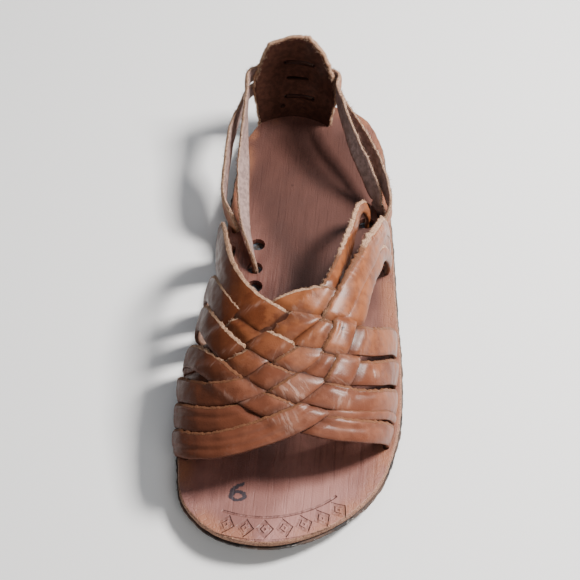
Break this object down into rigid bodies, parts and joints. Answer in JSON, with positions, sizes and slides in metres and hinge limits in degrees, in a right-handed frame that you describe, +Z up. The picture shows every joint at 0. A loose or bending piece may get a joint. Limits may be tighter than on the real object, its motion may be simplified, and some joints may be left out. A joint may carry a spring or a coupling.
{
  "type": "huarache sandal",
  "caption": "Left huarache sandal: a vamp woven from leather straps, a slit heel counter with two back straps, and a leather insole on a flat rubber sole.",
  "frame": {"origin": "under the middle of the sandal's box, on the floor plane that the sole stands on", "axes": "+Z up, -Y towards the toe, +Y towards the heel, +X towards the outer side of a left foot"},
  "size_m": [0.091, 0.2425, 0.0586],
  "materials": {
    "outsole_rubber": "worn matt black-brown rubber with pale flecks",
    "insole_leather": "matt red-brown vegetable-tanned leather, worn",
    "strap_leather": "satin tan leather with paler cut edges",
    "counter_leather": "dark brown leather, its flesh side inwards",
    "heel_strap_leather": "grey-pink flesh side with fuzzy edges"
  },
  "bodies": {
    "root": {"outsole": "outsole_rubber", "insole": "insole_leather", "woven_upper": "strap_leather", "heel_counter": "counter_leather", "heel_strap_upper": "heel_strap_leather", "heel_strap_lower": "heel_strap_leather", "counter_keeper": "strap_leather"}
  },
  "joints": []
}
